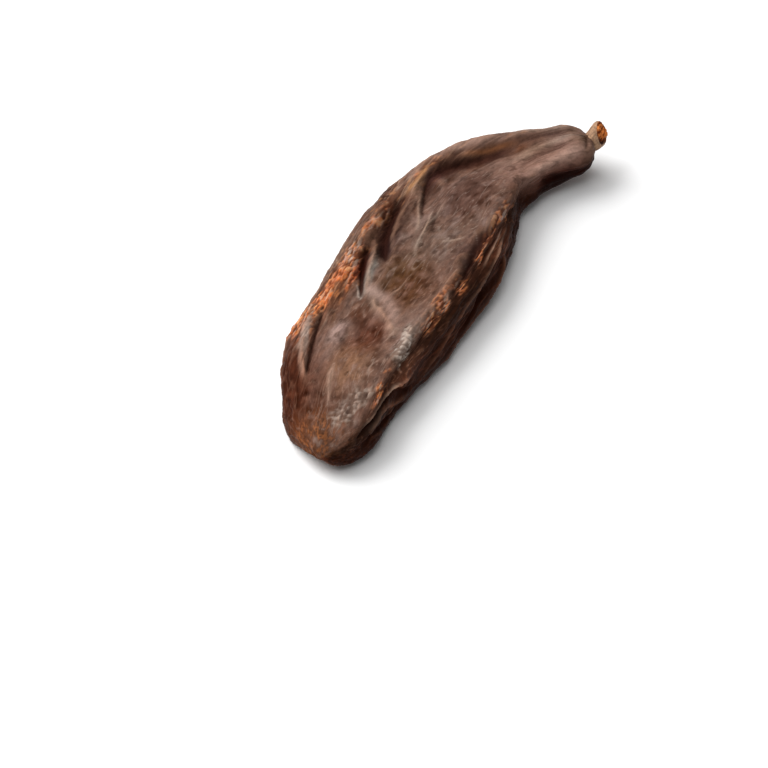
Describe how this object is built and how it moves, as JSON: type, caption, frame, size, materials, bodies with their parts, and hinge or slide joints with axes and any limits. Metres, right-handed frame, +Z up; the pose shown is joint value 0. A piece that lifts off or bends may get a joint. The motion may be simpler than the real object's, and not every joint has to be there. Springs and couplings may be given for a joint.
{
  "type": "carob pod",
  "caption": "Dried brown carob pod with thick rims, sunken wrinkled faces and a narrow bent neck ending in a stalk stub.",
  "frame": {"origin": "on the surface the pod lies on, under the middle of its overall box", "axes": "+X from the blossom end to the stalk end, +Y towards the thin rim, +Z up through the broad faces"},
  "size_m": [0.0996, 0.032, 0.0124],
  "materials": {
    "pod_skin": "dried waxy skin, dark brown with a mauve-grey bloom and orange-brown scuffs on the rims",
    "stalk_wood": "rough broken fibres with grey-brown bark"
  },
  "bodies": {
    "root": {"pod": "pod_skin", "stalk": "stalk_wood"}
  },
  "joints": []
}
